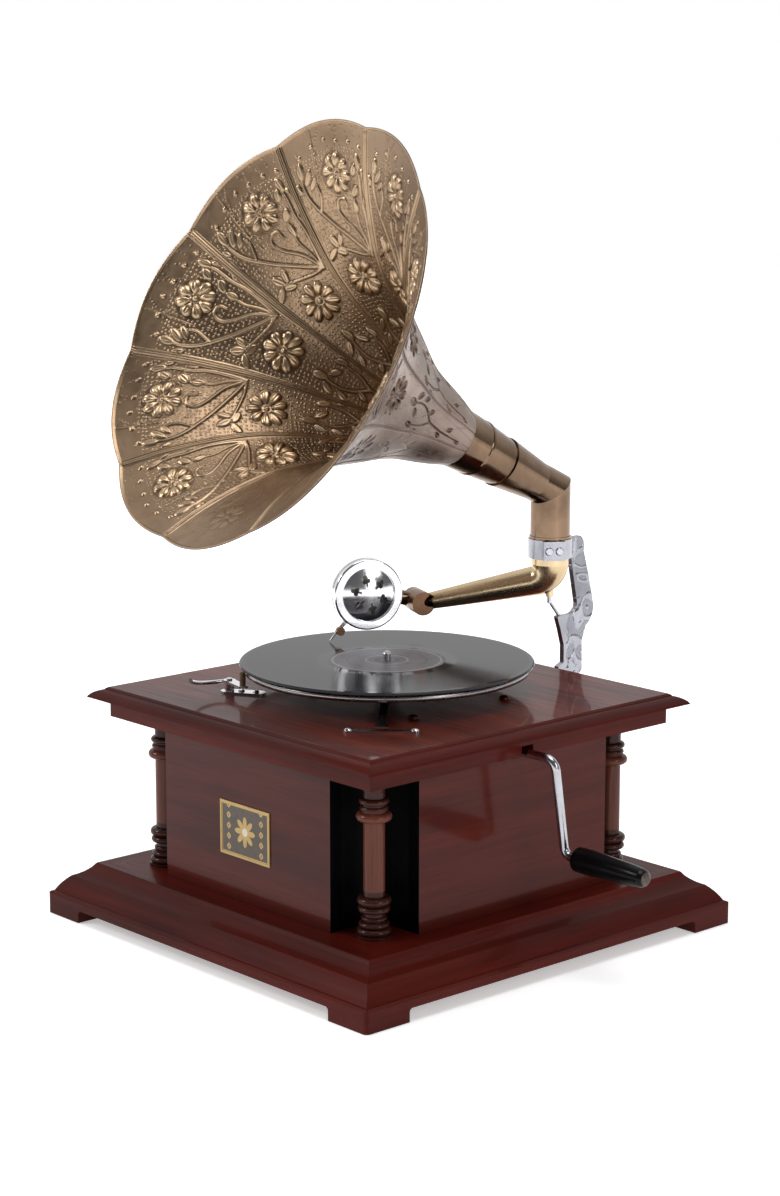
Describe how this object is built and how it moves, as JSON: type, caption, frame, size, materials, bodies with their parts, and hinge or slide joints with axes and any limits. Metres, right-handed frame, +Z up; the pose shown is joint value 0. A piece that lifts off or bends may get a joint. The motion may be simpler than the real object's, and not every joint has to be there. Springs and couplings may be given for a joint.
{
  "type": "wind-up phonograph",
  "caption": "Wind-up table phonograph: square wooden case with turned columns, clockwork turntable with a record, tone arm with sound box, side crank and flared brass petal horn",
  "frame": {"origin": "on the ground under the turntable spindle, the middle of the square base", "axes": "+Z up along the spindle; -Y is the front with the plate; +X is the crank side; +Y is the back with the horn bracket"},
  "size_m": [0.501, 0.445, 0.6855],
  "materials": {
    "mahogany": "gloss lacquer",
    "ebonised_wood": "gloss black lacquer",
    "printed_plate": "satin",
    "cast_frame": "painted grey",
    "steel": "turned",
    "rubber": "matt",
    "gear_brass": "cut",
    "spring_steel": "blued",
    "nickel": "bright plated",
    "felt": "felted",
    "leather": "matt",
    "shellac": "grooved gloss",
    "label_paper": "worn paper",
    "cast_aluminium": "as cast",
    "polished_brass": "polished",
    "aged_brass": "aged satin",
    "mica": "translucent"
  },
  "bodies": {
    "case": {"base_moulding": "mahogany", "plinth_board": "mahogany", "front_panel": "mahogany", "right_panel": "mahogany", "back_panel": "mahogany", "left_panel": "mahogany", "corner_posts": "ebonised_wood", "columns": "mahogany", "frieze_rails": "mahogany", "deck_board": "mahogany", "deck_moulding": "mahogany", "plaque": "printed_plate", "motor_bed_plate": "cast_frame", "motor_lower_plate": "cast_frame", "motor_pillars": "steel", "motor_bolts": "steel", "motor_grommets": "rubber", "speed_scale": "nickel", "deck_screws": "steel", "brake_bracket": "nickel", "support_bracket": "cast_aluminium", "bracket_screws": "steel", "pivot_pin": "steel"},
    "turntable": {"spindle": "steel", "spindle_wheel": "gear_brass", "platter": "nickel", "felt_mat": "felt", "record": "shellac", "record_label": "label_paper"},
    "mainspring_barrel": {"spring_barrel": "gear_brass", "barrel_lid": "gear_brass", "mainspring": "spring_steel"},
    "winding_arbor": {"barrel_arbor": "steel", "winding_wheel": "gear_brass"},
    "winding_crank": {"winding_shaft": "steel", "crank": "nickel"},
    "grip": {"crank_grip": "ebonised_wood"},
    "intermediate": {"intermediate_arbor": "steel", "intermediate_wheel": "gear_brass"},
    "governor": {"governor_arbor": "steel", "governor_collars": "gear_brass", "governor_springs": "spring_steel", "governor_weights": "gear_brass"},
    "speed_regulator": {"speed_lever": "nickel", "speed_pad": "felt"},
    "brake": {"brake_lever": "nickel", "brake_pad": "leather"},
    "tonearm": {"tonearm_tube": "polished_brass", "tonearm_knuckle": "aged_brass"},
    "soundbox": {"gooseneck": "aged_brass", "soundbox_shell": "nickel", "soundbox_grille": "nickel", "diaphragm": "mica", "gaskets": "rubber", "stylus_bar": "nickel", "needle": "steel"},
    "thumb_screw": {"needle_screw": "aged_brass"},
    "elbow": {"horn_elbow": "aged_brass"},
    "horn": {"horn_throat": "aged_brass", "horn_petals": "aged_brass"}
  },
  "joints": [
    {"name": "turntable_spin", "type": "hinge", "parent": "case", "child": "turntable", "pos_m": [0, 0, 0.2], "axis": [0, 0, 1], "continuous": true},
    {"name": "barrel_turn", "type": "hinge", "parent": "case", "child": "mainspring_barrel", "pos_m": [0.052, 0.002, 0.14], "axis": [0, 0, 1], "continuous": true},
    {"name": "intermediate_turn", "type": "hinge", "parent": "case", "child": "intermediate", "pos_m": [0.01795, 0.03293, 0.14], "axis": [0, 0, 1], "continuous": true},
    {"name": "governor_turn", "type": "hinge", "parent": "case", "child": "governor", "pos_m": [0.00769, -0.02869, 0.16], "axis": [0, 0, 1], "continuous": true},
    {"name": "crank_turn", "type": "hinge", "parent": "case", "child": "winding_crank", "pos_m": [0.12, 0.002, 0.1785], "axis": [1, 0, 0], "continuous": true},
    {"name": "winding_arbor_turn", "type": "hinge", "parent": "case", "child": "winding_arbor", "pos_m": [0.052, 0.002, 0.16], "axis": [0, 0, 1], "continuous": true},
    {"name": "grip_spin", "type": "hinge", "parent": "winding_crank", "child": "grip", "pos_m": [0.25, 0.0147, 0.0965], "axis": [1, 0, 0], "continuous": true},
    {"name": "speed_swing", "type": "hinge", "parent": "case", "child": "speed_regulator", "pos_m": [0.0289, -0.0276, 0.2], "axis": [0, 0, 1], "range_deg": [-11, 5]},
    {"name": "brake_swing", "type": "hinge", "parent": "case", "child": "brake", "pos_m": [-0.084, -0.105, 0.212], "axis": [0, 0, 1], "range_deg": [-20, 0]},
    {"name": "tonearm_swing", "type": "hinge", "parent": "case", "child": "tonearm", "pos_m": [0.035, 0.161, 0.31], "axis": [0, 0, 1], "range_deg": [-30, 18]},
    {"name": "soundbox_lift", "type": "hinge", "parent": "tonearm", "child": "soundbox", "pos_m": [-0.04995, 0.0912, 0.257], "axis": [-0.9207, 0.3903, 0], "range_deg": [0, 60]},
    {"name": "needle_screw_turn", "type": "hinge", "parent": "soundbox", "child": "thumb_screw", "pos_m": [-0.08536, 0.01948, 0.23887], "axis": [0.9207, -0.3903, 0], "range_deg": [0, 360]},
    {"name": "horn_swivel", "type": "hinge", "parent": "case", "child": "elbow", "pos_m": [0.035, 0.161, 0.33], "axis": [0, 0, 1], "range_deg": [-60, 60]},
    {"name": "horn_pull", "type": "slide", "parent": "elbow", "child": "horn", "axis": [-0.0806, -0.8858, 0.4571], "range_m": [0, 0.03]}
  ],
  "couplings": [
    {"joint": "intermediate_turn", "follows": "turntable_spin", "ratio": -0.25},
    {"joint": "barrel_turn", "follows": "turntable_spin", "ratio": 0.0375},
    {"joint": "governor_turn", "follows": "turntable_spin", "ratio": -10},
    {"joint": "winding_arbor_turn", "follows": "crank_turn", "ratio": 0.25}
  ]
}
